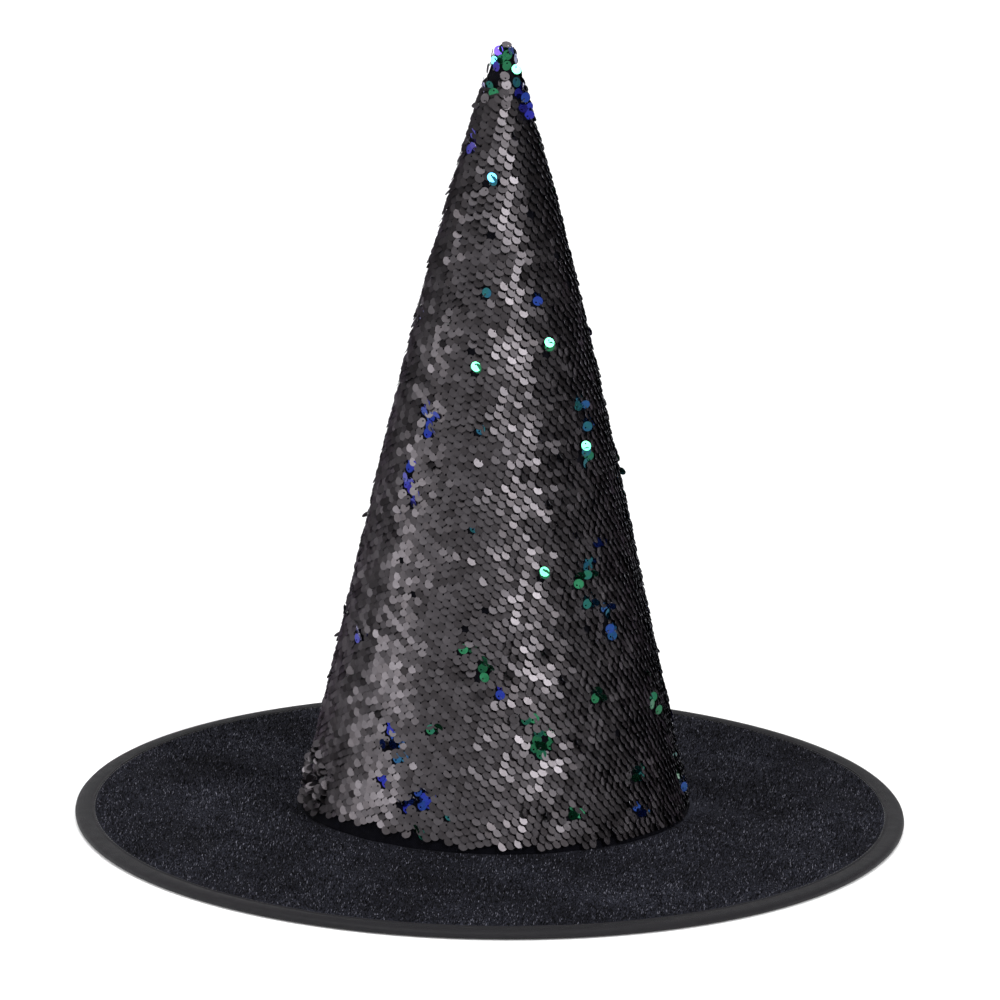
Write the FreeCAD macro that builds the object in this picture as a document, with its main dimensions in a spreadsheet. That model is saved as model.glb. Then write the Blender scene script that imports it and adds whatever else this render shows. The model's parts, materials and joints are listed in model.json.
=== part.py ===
import FreeCAD, Part
import Sketcher
import math
import os

# Witch hat: a flat wire-edged brim and a tall oval cone covered in flip sequins.
# The table top is z = 0, +Z points up to the tip, -Y is the wearer's front, +X the wearer's left.
# The origin is the centre of the brim on the table top.

DRIVING_SIZES = (
    ("brim_radius", 210.0),
    ("binding_width", 9.6),
    ("binding_wall", 0.5),
    ("underside_cloth", 0.5),
    ("core_board", 1.8),
    ("velour", 0.8),
    ("cloth_inset", 2.8),
    ("wire_radius", 0.6),
    ("wire_inset", 1.7),
    ("wire_angle", 359.2),
    ("ferrule_radius", 1.0),
    ("ferrule_bore", 0.63),
    ("ferrule_angle", 3.2),
    ("thread_radius", 0.15),
    ("thread_gap", 0.02),
    ("crown_height", 387.0),
    ("base_half_width", 100.4),
    ("base_flattening", 8.8),
    ("tip_radius", 4.6),
    ("crown_bulge", 4.6),
    ("crown_offset", 2.6),
    ("tip_lean", -1.5),
    ("layer_gap", 0.05),
    ("sequin_cover", 1.2),
    ("net", 0.3),
    ("stiffener", 1.8),
    ("stiffener_tip", 6.0),
    ("lining", 0.4),
    ("hem_height", 0.6),
    ("sweatband", 0.8),
    ("sweatband_height", 32.0),
    ("sweatband_seam_height", 4.0),
    ("label_width", 26.0),
    ("label_height", 18.0),
    ("label_thickness", 0.3),
    ("knot_radius", 0.7),
    ("tail_radius", 0.2),
    ("tail_length", 2.2),
    ("stitch_length", 2.4),
    ("sequin_radius", 2.5),
    ("sequin_thickness", 0.2),
    ("hole_radius", 0.45),
    ("hole_offset", 1.15),
    ("hinge_offset", 2.05),
    ("hinge_height", 0.92),
    ("loop_radius", 0.9),
    ("loop_thread", 0.12),
    ("hang_angle", 45.0),
)

# The cloth is cut on the bias, so its sequins hang towards -X by hang_angle from straight down.
# Each free-hanging sequin: degrees round the crown from the front towards +X, height of its
# thread, and how far it stands open from hanging (0 is matte side out, 180 is turned right over).
FREE_SEQUINS = (
    (-30, 377, 150),
    (46, 362, 155),
    (-13, 323, 150),
    (-12, 270, 158),
    (30, 244, 155),
    (-15, 234, 160),
    (46, 192, 150),
    (-50, 178, 160),
    (18, 136, 152),
    (45, 106, 158),
    (-80, 105, 150),
    (-5, 87, 156),
    (7, 70, 8),
    (67, 60, 155),
    (14, 54, 150),
    (-39, 50, 158),
)

STATIONS = 8  # ovals that each crown layer is lofted through
SEAM_STITCHES = 44
SEAM_START = 40.0
SEAM_PITCH = 6.5
RING_STITCHES = 84
CUT_MARGIN = 1.0  # how far a cutting solid runs past the face that it opens

doc = FreeCAD.newDocument("witch_hat")
sheet = doc.addObject("Spreadsheet::Sheet", "sizes")
for row, (alias, value) in enumerate(DRIVING_SIZES, start=1):
    sheet.set(f"A{row}", alias)
    sheet.set(f"B{row}", str(value))
    sheet.setAlias(f"B{row}", alias)
doc.recompute()

nodes = []


def size(alias):
    return float(getattr(sheet, alias))


def bind(thing, **expressions):
    for target, expression in expressions.items():
        thing.setExpression(target.replace("__", "."), expression)


def lift(thing, height, across="0"):
    """Places a primitive at a height and a sideways shift, both bound to the sheet."""
    thing.setExpression("Placement.Base.z", height)
    thing.setExpression("Placement.Base.x", across)


def keep(thing, label):
    thing.Label = label
    nodes.append(thing)
    return thing


def group(members, label):
    compound = doc.addObject("Part::Compound", label)
    compound.Links = members
    return keep(compound, label)


# --- heights in the brim, from the table up ---------------------------------------------------
CLOTH_BOTTOM = "sizes.binding_wall"
CORE_BOTTOM = "sizes.binding_wall + sizes.underside_cloth"
VELOUR_BOTTOM = f"{CORE_BOTTOM} + sizes.core_board"
VELOUR_TOP = f"{VELOUR_BOTTOM} + sizes.velour"
BINDING_TOP = f"{VELOUR_TOP} + sizes.binding_wall"
WIRE_HEIGHT = f"({CLOTH_BOTTOM} + {VELOUR_TOP}) / 2"
SEAM_RADIUS = "sizes.brim_radius - sizes.binding_width - sizes.thread_radius - sizes.thread_gap"
BRIM_HOLE = "(sizes.base_half_width - sizes.sequin_cover + sizes.layer_gap)"


def oval_prism(name, half_width, half_depth, bottom, height):
    """An upright oval column on the crown's axis at its base."""
    oval = doc.addObject("Part::Ellipse", f"{name}_outline")
    bind(oval, MajorRadius=half_width, MinorRadius=half_depth)
    lift(oval, bottom, "sizes.crown_offset")
    column = doc.addObject("Part::Extrusion", f"{name}_column")
    column.Base = oval
    column.DirMode = "Custom"
    column.Dir = FreeCAD.Vector(0, 0, 1)
    column.Solid = True
    bind(column, LengthFwd=height)
    return column


def brim_layer(label, bottom, thickness):
    """A flat ring of cloth or board with the oval head hole cut out of it."""
    disc = doc.addObject("Part::Cylinder", f"{label}_disc")
    bind(disc, Radius="sizes.brim_radius - sizes.cloth_inset", Height=thickness)
    lift(disc, bottom)
    hole = oval_prism(
        label,
        BRIM_HOLE,
        f"{BRIM_HOLE} - sizes.base_flattening",
        f"{bottom} - {CUT_MARGIN}",
        f"{thickness} + 2 * {CUT_MARGIN}",
    )
    ring = doc.addObject("Part::Cut", label)
    ring.Base = disc
    ring.Tool = hole
    return keep(ring, label)


# --- revolved pieces of the brim edge ---------------------------------------------------------
def origin_plane(body, role):
    for feature in body.Origin.OriginFeatures:
        if feature.Role == role:
            return feature
    raise ValueError(f"{body.Label} has no {role}")


def side_sketch(body, name):
    """A sketch in the upright XZ plane: its x is the distance from the brim's axis, its y is z."""
    sketch = body.newObject("Sketcher::SketchObject", name)
    sketch.AttachmentSupport = [(origin_plane(body, "XZ_Plane"), "")]
    sketch.MapMode = "FlatFace"
    return sketch


def draw_box(sketch, left, right, bottom, top):
    """A closed rectangle whose four sides are bound to the sheet."""
    corners = [(1.0, 1.0), (2.0, 1.0), (2.0, 2.0), (1.0, 2.0)]
    for i in range(4):
        start = FreeCAD.Vector(*corners[i], 0)
        end = FreeCAD.Vector(*corners[(i + 1) % 4], 0)
        sketch.addGeometry(Part.LineSegment(start, end), False)
    for i in range(4):
        sketch.addConstraint(Sketcher.Constraint("Coincident", i, 2, (i + 1) % 4, 1))
    for side, kind in enumerate(("Horizontal", "Vertical", "Horizontal", "Vertical")):
        sketch.addConstraint(Sketcher.Constraint(kind, side))
    bounds = (
        ("left", "DistanceX", 0, left),
        ("right", "DistanceX", 2, right),
        ("bottom", "DistanceY", 0, bottom),
        ("top", "DistanceY", 2, top),
    )
    for name, kind, line, expression in bounds:
        number = sketch.addConstraint(Sketcher.Constraint(kind, -1, 1, line, 1, 1.0))
        sketch.renameConstraint(number, name)
        sketch.setExpression(f"Constraints.{name}", expression)


def draw_circle(sketch, name, radius):
    """A circle centred on the edge wire's own line."""
    number = sketch.addGeometry(Part.Circle(FreeCAD.Vector(1, 1, 0), FreeCAD.Vector(0, 0, 1), 1))
    bounds = (
        ("across", Sketcher.Constraint("DistanceX", -1, 1, number, 3, 1.0), WIRE_LINE),
        ("up", Sketcher.Constraint("DistanceY", -1, 1, number, 3, 1.0), WIRE_HEIGHT),
        ("radius", Sketcher.Constraint("Radius", number, 1.0), radius),
    )
    for word, constraint, expression in bounds:
        index = sketch.addConstraint(constraint)
        sketch.renameConstraint(index, f"{name}_{word}")
        sketch.setExpression(f"Constraints.{name}_{word}", expression)


def spin(body, name, sketch, kind, angle):
    """Turns a sketch round the brim's axis; angle is an expression."""
    feature = body.newObject(f"PartDesign::{kind}", name)
    feature.Profile = sketch
    feature.ReferenceAxis = (sketch, ["V_Axis"])
    feature.Midplane = True
    feature.setExpression("Angle", angle)
    return feature


WIRE_LINE = "sizes.brim_radius - sizes.wire_inset"


def edge_binding():
    """Tape folded round the rim: a ring with a groove that holds the brim's edge."""
    body = doc.addObject("PartDesign::Body", "edge_binding")
    outside = side_sketch(body, "tape_outside")
    inner_edge = "sizes.brim_radius - sizes.binding_width"
    draw_box(outside, inner_edge, "sizes.brim_radius", "0", BINDING_TOP)
    spin(body, "tape_ring", outside, "Revolution", "360")
    inside = side_sketch(body, "tape_inside")
    draw_box(
        inside,
        f"{inner_edge} - {CUT_MARGIN}",
        "sizes.brim_radius - sizes.binding_wall",
        CLOTH_BOTTOM,
        VELOUR_TOP,
    )
    spin(body, "tape_groove", inside, "Groove", "360")
    return keep(body, "brim_edge_binding")


def edge_wire():
    """Spring-steel hoop; its ends meet inside the ferrule at the back."""
    body = doc.addObject("PartDesign::Body", "edge_wire")
    section = side_sketch(body, "wire_section")
    draw_circle(section, "wire", "sizes.wire_radius")
    spin(body, "wire_hoop", section, "Revolution", "sizes.wire_angle")
    body.Placement.Rotation = FreeCAD.Rotation(FreeCAD.Vector(0, 0, 1), -90)
    return keep(body, "brim_edge_wire")


def wire_ferrule():
    """Crimped tube over the two wire ends, at the back."""
    body = doc.addObject("PartDesign::Body", "wire_ferrule")
    section = side_sketch(body, "ferrule_section")
    draw_circle(section, "outside", "sizes.ferrule_radius")
    draw_circle(section, "bore", "sizes.ferrule_bore")
    spin(body, "ferrule_tube", section, "Revolution", "sizes.ferrule_angle")
    body.Placement.Rotation = FreeCAD.Rotation(FreeCAD.Vector(0, 0, 1), 90)
    return keep(body, "brim_wire_ferrule")


def thread_ring(name, radius, height):
    ring = doc.addObject("Part::Torus", name)
    bind(ring, Radius1=radius, Radius2="sizes.thread_radius")
    lift(ring, height)
    return ring


def binding_seam():
    """The seam beside the tape's inner edges, on the velour and on the underside cloth."""
    offset = "sizes.thread_radius + sizes.thread_gap"
    upper = thread_ring("seam_above", SEAM_RADIUS, f"{VELOUR_TOP} + {offset}")
    lower = thread_ring("seam_below", SEAM_RADIUS, f"{CLOTH_BOTTOM} - ({offset})")
    return group([upper, lower], "binding_seam_thread")


# --- the crown's shape ------------------------------------------------------------------------
def crown_half_width(height):
    """Expression for the cone's half width: a straight taper plus a bulge above the middle."""
    share = f"(({height}) / sizes.crown_height)"
    taper = f"sizes.base_half_width + (sizes.tip_radius - sizes.base_half_width) * {share}"
    return f"({taper} + 27 / 4 * sizes.crown_bulge * {share} ^ 2 * (1 - {share}))"


def crown_flattening(height):
    """The cone is shallower than it is wide at the base and round at the tip."""
    return f"(sizes.base_flattening * (1 - ({height}) / sizes.crown_height))"


def crown_centre(height):
    return f"(sizes.crown_offset + sizes.tip_lean * ({height}) / sizes.crown_height)"


def crown_oval(name, height, inset):
    oval = doc.addObject("Part::Ellipse", name)
    width = f"{crown_half_width(height)} - ({inset})"
    bind(oval, MajorRadius=width, MinorRadius=f"{width} - {crown_flattening(height)}")
    lift(oval, height, crown_centre(height))
    return oval


def crown_solid(name, inset, bottom, top):
    """The space inside one layer of the cone, lofted through evenly spaced ovals."""
    ovals = []
    for i in range(STATIONS):
        height = f"({bottom}) + (({top}) - ({bottom})) * {i} / {STATIONS - 1}"
        ovals.append(crown_oval(f"{name}_oval_{i}", height, inset))
    loft = doc.addObject("Part::Loft", f"{name}_loft")
    loft.Sections = ovals
    loft.Solid = True
    return loft


def crown_layer(label, inset, thickness, bottom, top_outside, top_inside):
    """One shell of the cone: open below, closed at the tip unless its inside runs past its top."""
    outside = crown_solid(f"{label}_outside", inset, bottom, top_outside)
    inside = crown_solid(
        f"{label}_inside", f"{inset} + {thickness}", f"{bottom} - {CUT_MARGIN}", top_inside
    )
    shell = doc.addObject("Part::Cut", label)
    shell.Base = outside
    shell.Tool = inside
    return keep(shell, label)


NET_INSET = "sizes.sequin_cover + sizes.layer_gap"
STIFFENER_INSET = f"{NET_INSET} + sizes.net + sizes.layer_gap"
LINING_INSET = f"{STIFFENER_INSET} + sizes.stiffener + sizes.layer_gap"
SWEATBAND_INSET = f"{LINING_INSET} + sizes.lining + sizes.layer_gap"
INSIDE_INSET = f"{LINING_INSET} + sizes.lining"
LINING_TIP = f"sizes.crown_height - ({STIFFENER_INSET}) - sizes.stiffener_tip"


def crown_layers():
    """Sequins, net, stiffener, lining and sweatband, from the outside in."""
    crown_layer(
        "crown_sequin_layer",
        "0",
        "sizes.sequin_cover",
        f"{VELOUR_TOP} + 2 * sizes.layer_gap",
        "sizes.crown_height",
        "sizes.crown_height - sizes.sequin_cover",
    )
    crown_layer(
        "crown_backing_net",
        NET_INSET,
        "sizes.net",
        "sizes.hem_height",
        f"sizes.crown_height - ({NET_INSET})",
        f"sizes.crown_height - ({NET_INSET}) - sizes.net",
    )
    crown_layer(
        "crown_stiffener",
        STIFFENER_INSET,
        "sizes.stiffener",
        "sizes.hem_height",
        f"sizes.crown_height - ({STIFFENER_INSET})",
        LINING_TIP,
    )
    crown_layer(
        "crown_lining",
        LINING_INSET,
        "sizes.lining",
        "sizes.hem_height",
        f"{LINING_TIP} - sizes.layer_gap",
        f"{LINING_TIP} - sizes.layer_gap - sizes.lining",
    )
    crown_layer(
        "sweatband",
        SWEATBAND_INSET,
        "sizes.sweatband",
        "sizes.hem_height",
        "sizes.sweatband_height",
        f"sizes.sweatband_height + {CUT_MARGIN}",
    )


def ring_of_stitches(label, half_width, half_depth, height, centre):
    """Short stitches round an oval; each starts on the oval and runs along its tangent."""
    stitches = []
    for i in range(RING_STITCHES):
        turn = 360 * i / RING_STITCHES
        stitch = doc.addObject("Part::Cylinder", f"{label}_{i:02d}")
        bind(stitch, Radius="sizes.thread_radius", Height="sizes.stitch_length")
        tangent = FreeCAD.Vector(-math.sin(math.radians(turn)), math.cos(math.radians(turn)), 0)
        stitch.Placement.Rotation = FreeCAD.Rotation(FreeCAD.Vector(0, 0, 1), tangent)
        lift(stitch, height, f"{centre} + {half_width} * cos({turn} deg)")
        stitch.setExpression("Placement.Base.y", f"{half_depth} * sin({turn} deg)")
        stitches.append(stitch)
    return group(stitches, label)


def crown_threads():
    """The seam that joins crown and brim, on the underside, and the one that holds the sweatband."""
    offset = "(sizes.thread_radius + sizes.thread_gap)"
    below = f"{CLOTH_BOTTOM} - {offset}"
    outer = f"({BRIM_HOLE} + 4 * {offset})"
    depth = f"({outer} - sizes.base_flattening)"
    ring_of_stitches("crown_brim_seam_thread", outer, depth, below, "sizes.crown_offset")
    height = "sizes.sweatband_seam_height"
    inset = f"({SWEATBAND_INSET} + sizes.sweatband + sizes.thread_radius + 3 * sizes.thread_gap)"
    width = f"({crown_half_width(height)} - {inset})"
    depth = f"({width} - {crown_flattening(height)})"
    ring_of_stitches("sweatband_seam_thread", width, depth, height, crown_centre(height))


def back_seam():
    """Short stitches across the closing seam of the lining, up the inside of the back."""
    inset = f"({INSIDE_INSET} + sizes.thread_radius + 2 * sizes.layer_gap)"
    stitches = []
    for i in range(SEAM_STITCHES):
        height = str(SEAM_START + i * SEAM_PITCH)
        stitch = doc.addObject("Part::Cylinder", f"seam_stitch_{i:02d}")
        bind(stitch, Radius="sizes.thread_radius", Height="sizes.stitch_length")
        stitch.Placement.Rotation = FreeCAD.Rotation(FreeCAD.Vector(0, 1, 0), 90)
        lift(stitch, height, f"{crown_centre(height)} - sizes.stitch_length / 2")
        depth = f"{crown_half_width(height)} - {crown_flattening(height)} - {inset}"
        stitch.setExpression("Placement.Base.y", depth)
        stitches.append(stitch)
    return group(stitches, "back_seam_thread")


def tip_thread():
    """Tacking knot on the tip with a short leaning tail."""
    knot = doc.addObject("Part::Sphere", "tip_knot")
    bind(knot, Radius="sizes.knot_radius")
    tail = doc.addObject("Part::Cylinder", "tip_tail")
    bind(tail, Radius="sizes.tail_radius", Height="sizes.tail_length")
    tail.Placement.Rotation = FreeCAD.Rotation(FreeCAD.Vector(0, 1, 0), 15)
    tip = "sizes.crown_offset + sizes.tip_lean"
    for piece in (knot, tail):
        lift(piece, "sizes.crown_height + sizes.knot_radius", tip)
    thread = doc.addObject("Part::Fuse", "tip_thread")
    thread.Base = knot
    thread.Tool = tail
    return keep(thread, "tip_thread")


# --- places on the crown's surface ------------------------------------------------------------
def surface_frame(around, height):
    """Point on the outer surface with the outward normal and the downhill direction there."""

    def point(angle, level):
        share = level / size("crown_height")
        taper = size("base_half_width") + (size("tip_radius") - size("base_half_width")) * share
        half_width = taper + 27 / 4 * size("crown_bulge") * share**2 * (1 - share)
        half_depth = half_width - size("base_flattening") * (1 - share)
        centre = size("crown_offset") + size("tip_lean") * share
        x = centre + half_width * math.sin(angle)
        return FreeCAD.Vector(x, -half_depth * math.cos(angle), level)

    angle = math.radians(around)
    step = 0.01
    here = point(angle, height)
    sideways = point(angle + step, height) - point(angle - step, height)
    downhill = point(angle, height - step) - point(angle, height + step)
    downhill.normalize()
    normal = downhill.cross(sideways)
    normal.normalize()
    return here, normal, downhill


def frame_rotation(hinge, hang, normal):
    """Rotation that lays local x on the hinge, y along the hanging disc and z outwards."""
    return FreeCAD.Rotation(hinge, hang, normal, "ZXY")


def care_label():
    """A blank satin tab that stands against the inside of the back, above the sweatband."""
    tab = doc.addObject("Part::Box", "label_tab")
    bind(tab, Length="sizes.label_width", Width="sizes.label_thickness", Height="sizes.label_height")
    level = size("sweatband_height") - size("label_height") / 2
    here, normal, _ = surface_frame(180, level)
    slope = math.degrees(math.atan2(abs(normal.z), abs(normal.y)))
    half = size("label_width") / 2
    wall = size("sequin_cover") + size("net") + size("stiffener") + size("lining") + size("sweatband")
    sagitta = half**2 / (2 * abs(here.y))
    tab.Placement = FreeCAD.Placement(
        FreeCAD.Vector(here.x - half, here.y - wall - 2 * sagitta, level),
        FreeCAD.Rotation(FreeCAD.Vector(1, 0, 0), slope),
    )
    return keep(tab, "care_label")


def free_sequin(number, around, height, opening):
    """A punched disc on its own thread. Returns the loop of thread that it turns on."""
    label = f"flip_sequin_{number:02d}"
    here, normal, downhill = surface_frame(around, height)
    hang = FreeCAD.Rotation(normal, -size("hang_angle")).multVec(downhill)
    hinge = hang.cross(normal)
    pivot = here + normal * size("hinge_height")
    closed = frame_rotation(hinge, hang, normal)
    opened = FreeCAD.Rotation(hinge, opening).multiply(closed)

    disc = doc.addObject("Part::Cylinder", f"{label}_disc")
    bind(disc, Radius="sizes.sequin_radius", Height="sizes.sequin_thickness")
    bind(disc, Placement__Base__y="sizes.hinge_offset", Placement__Base__z="-sizes.sequin_thickness / 2")
    punch = doc.addObject("Part::Cylinder", f"{label}_punch")
    bind(punch, Radius="sizes.hole_radius", Height=f"sizes.sequin_thickness + 2 * {CUT_MARGIN}")
    bind(
        punch,
        Placement__Base__y="sizes.hinge_offset - sizes.hole_offset",
        Placement__Base__z=f"-sizes.sequin_thickness / 2 - {CUT_MARGIN}",
    )
    sequin = doc.addObject("Part::Cut", label)
    sequin.Base = disc
    sequin.Tool = punch
    sequin.Placement = FreeCAD.Placement(pivot, opened)
    keep(sequin, label)

    loop = doc.addObject("Part::Torus", f"{label}_loop")
    bind(loop, Radius1="sizes.loop_radius", Radius2="sizes.loop_thread")
    upright = FreeCAD.Rotation(FreeCAD.Vector(0, 1, 0), 90)
    loop.Placement = FreeCAD.Placement(pivot, closed.multiply(upright))

    line = [round(v / 1000, 6) for v in pivot] + [round(v, 6) for v in hinge]
    print("hinge", label, opening, *line)
    return loop


def check(thing):
    shape = thing.Shape
    if shape.isNull() or not shape.isValid() or not shape.Solids:
        raise ValueError(f"{thing.Label} has no valid solid")


brim_layer("brim_underside_cloth", CLOTH_BOTTOM, "sizes.underside_cloth")
brim_layer("brim_core", CORE_BOTTOM, "sizes.core_board")
brim_layer("brim_top_velour", VELOUR_BOTTOM, "sizes.velour")
edge_binding()
edge_wire()
wire_ferrule()
binding_seam()
crown_layers()
crown_threads()
back_seam()
tip_thread()
care_label()
loops = [free_sequin(n, *place) for n, place in enumerate(FREE_SEQUINS, start=1)]
group(loops, "sequin_thread_loops")
doc.recompute()

for thing in doc.Objects:
    if "Invalid" in thing.State or "Error" in thing.State:
        raise ValueError(f"{thing.Label} did not compute: {thing.State}")
os.makedirs("parts", exist_ok=True)
for thing in nodes:
    check(thing)
    thing.Shape.exportStep(f"parts/{thing.Label}.step")
    box = thing.Shape.optimalBoundingBox(False)
    print(f"{thing.Label}: {len(thing.Shape.Solids)} solids, {thing.Shape.Volume:.1f} mm3,",
          f"z {box.ZMin:.2f} to {box.ZMax:.2f}")
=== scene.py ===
import json
import math

import bpy
import numpy as np
from mathutils import Matrix, Vector


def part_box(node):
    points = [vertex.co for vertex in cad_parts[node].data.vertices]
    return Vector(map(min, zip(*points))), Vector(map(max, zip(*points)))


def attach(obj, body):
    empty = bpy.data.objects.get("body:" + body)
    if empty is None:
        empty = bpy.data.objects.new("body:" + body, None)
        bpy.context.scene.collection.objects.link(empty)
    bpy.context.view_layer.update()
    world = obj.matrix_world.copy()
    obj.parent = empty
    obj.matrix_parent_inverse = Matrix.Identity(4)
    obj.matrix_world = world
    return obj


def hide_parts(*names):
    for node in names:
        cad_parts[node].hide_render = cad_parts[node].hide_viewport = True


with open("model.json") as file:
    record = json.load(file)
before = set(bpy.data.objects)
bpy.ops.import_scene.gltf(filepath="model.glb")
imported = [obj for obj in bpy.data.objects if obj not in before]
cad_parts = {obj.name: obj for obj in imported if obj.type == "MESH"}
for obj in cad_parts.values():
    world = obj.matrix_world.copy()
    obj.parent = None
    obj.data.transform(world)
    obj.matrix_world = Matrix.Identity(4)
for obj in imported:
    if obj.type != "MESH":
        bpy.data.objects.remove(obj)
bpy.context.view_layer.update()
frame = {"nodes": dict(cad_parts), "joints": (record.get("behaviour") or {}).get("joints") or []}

# Witch hat. All lengths are metres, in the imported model's frame: the hat stands on z = 0, +Z is up
# to the tip, -Y the wearer's front and +X the wearer's left. Angles round the crown are from the
# front towards +X.

MM = 0.001

# --- sizes ------------------------------------------------------------------------------------
CROWN_HEIGHT = 387 * MM
BASE_HALF_WIDTH = 100.4 * MM
BASE_FLATTENING = 8.8 * MM
TIP_RADIUS = 4.6 * MM
CROWN_BULGE = 4.6 * MM
CROWN_OFFSET = 2.6 * MM
TIP_LEAN = -1.5 * MM

VELOUR_BOTTOM = 2.8 * MM
VELOUR_TOP = 3.6 * MM
CLOTH_BOTTOM = 0.5 * MM
CLOTH_TOP = 1.0 * MM
CLOTH_EDGE = 207.2 * MM
SWEATBAND_HEIGHT = 32 * MM
SWEATBAND_LENGTH = 570 * MM
LABEL_WIDTH, LABEL_HEIGHT = 26 * MM, 18 * MM
BINDING_INNER = 200.4 * MM
VELOUR_HOLE = 98.1 * MM
LINING_HOLE = 98.8 * MM
PILE_HOLE = 100.85 * MM

SEQUIN_COVER = 1.2 * MM
SEQUIN_RADIUS = 2.5 * MM
SEQUIN_THICKNESS = 0.14 * MM
HOLE_RADIUS = 0.48 * MM
HOLE_OFFSET = 1.15 * MM
SEQUIN_PITCH = 4.3 * MM
ROW_SPACING = 3.26 * MM
HANG_ANGLE = math.radians(45)

# The cone's flat pattern is a sector whose centre is TIP_SLANT above the cut tip. An angle round
# the crown is SECTOR times as large in the pattern.
MEAN_BASE = BASE_HALF_WIDTH - BASE_FLATTENING / 2
SLANT = math.hypot(CROWN_HEIGHT, MEAN_BASE - TIP_RADIUS)
SECTOR = (MEAN_BASE - TIP_RADIUS) / SLANT
TIP_SLANT = TIP_RADIUS / SECTOR

rng = np.random.default_rng(31)


# --- mesh helpers -----------------------------------------------------------------------------
def new_object(name, mesh, materials, body="hat"):
    for material in materials:
        mesh.materials.append(material)
    made = bpy.data.objects.new(name, mesh)
    bpy.context.scene.collection.objects.link(made)
    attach(made, body)
    return made


def skin(name, points, uv, around=True, across=False):
    """A smooth mesh through a grid of points (row, column, xyz), with its cloth coordinates.

    around joins the last column to the first, across the last row to the first; uv has one more
    column or row than points wherever they join."""
    rows, columns = points.shape[:2]
    i, j = np.meshgrid(
        np.arange(rows if across else rows - 1),
        np.arange(columns if around else columns - 1),
        indexing="ij",
    )
    i, j = i.ravel(), j.ravel()
    corners = [(i, j), (i, j + 1), (i + 1, j + 1), (i + 1, j)]
    index = np.stack([(a % rows) * columns + b % columns for a, b in corners], axis=1)
    mesh = bpy.data.meshes.new(name)
    mesh.from_pydata(points.reshape(-1, 3).tolist(), [], index.tolist())
    layer = mesh.uv_layers.new(name="cloth")
    flat = np.stack([uv[a, b] for a, b in corners], axis=1)
    layer.data.foreach_set("uv", flat.astype(np.float32).ravel())
    mesh.polygons.foreach_set("use_smooth", np.ones(len(index), bool))
    p, q, r, t = [points.reshape(-1, 3)[index[:, k]] for k in range(4)]
    if across and np.sum(p * (np.cross(q, r) + np.cross(r, t))) < 0:
        mesh.flip_normals()
    mesh.update()
    return mesh


def revolve(name, profile, columns, wobble):
    """A ring whose section is a closed loop of (radius, height) points, made uneven by wobble."""
    profile = np.array(profile)
    angles = np.arange(columns) / columns * 2 * math.pi
    radius, height = profile[:, 0][:, None], profile[:, 1][:, None]
    points = np.stack([radius * np.cos(angles), radius * np.sin(angles), height + 0 * angles], axis=2)
    points = wobble(points, angles)
    steps = np.linalg.norm(np.diff(profile, axis=0, append=profile[:1]), axis=1)
    down = np.concatenate([[0], np.cumsum(steps)])
    along = np.arange(columns + 1) / columns * 2 * math.pi * profile[:, 0].mean()
    uv = np.stack(np.meshgrid(along, down), axis=2)
    return skin(name, points, uv, across=True)


# --- shapes of the crown ----------------------------------------------------------------------
def crown_point(angle, height, out=0.0):
    """Points on the crown's outer surface, moved outwards by out."""
    share = height / CROWN_HEIGHT
    taper = BASE_HALF_WIDTH + (TIP_RADIUS - BASE_HALF_WIDTH) * share
    half_width = taper + 27 / 4 * CROWN_BULGE * share**2 * (1 - share) + out
    half_depth = half_width - BASE_FLATTENING * (1 - share)
    centre = CROWN_OFFSET + TIP_LEAN * share
    x = centre + half_width * np.sin(angle)
    return np.stack([x, -half_depth * np.cos(angle), height + 0 * angle], axis=-1)


def unit(v):
    return v / np.linalg.norm(v, axis=-1, keepdims=True)


def crown_frame(angle, height):
    """Point on the surface, the outward normal, the downhill direction and the sideways one."""
    step = 0.01
    here = crown_point(angle, height)
    sideways = unit(crown_point(angle + step, height) - crown_point(angle - step, height))
    downhill = unit(crown_point(angle, height - step * MM) - crown_point(angle, height + step * MM))
    normal = unit(np.cross(downhill, sideways))
    return here, normal, downhill, sideways


def to_crown(flat):
    """Angle and height on the cone of points in its flat pattern."""
    slant = np.hypot(flat[..., 0], flat[..., 1])
    angle = np.arctan2(flat[..., 0], -flat[..., 1])
    height = CROWN_HEIGHT * (1 - (slant - TIP_SLANT) / SLANT)
    return angle / SECTOR, height


def to_flat(angle, height):
    """Points in the cone's flat pattern, the other way from to_crown."""
    slant = TIP_SLANT + SLANT * (1 - height / CROWN_HEIGHT)
    turn = angle * SECTOR
    return np.stack([slant * np.sin(turn), -slant * np.cos(turn)], axis=-1)


def ripple(u, v, wavelength, seed, waves=7):
    """A smooth random field from -1 to 1 with features about a wavelength across."""
    draw = np.random.default_rng(seed)
    total = 0
    for _ in range(waves):
        heading, phase = draw.uniform(0, 2 * math.pi, 2)
        pitch = wavelength * draw.uniform(0.7, 1.5)
        distance = u * math.cos(heading) + v * math.sin(heading)
        total = total + np.sin(distance * 2 * math.pi / pitch + phase)
    return total / math.sqrt(waves)


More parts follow.
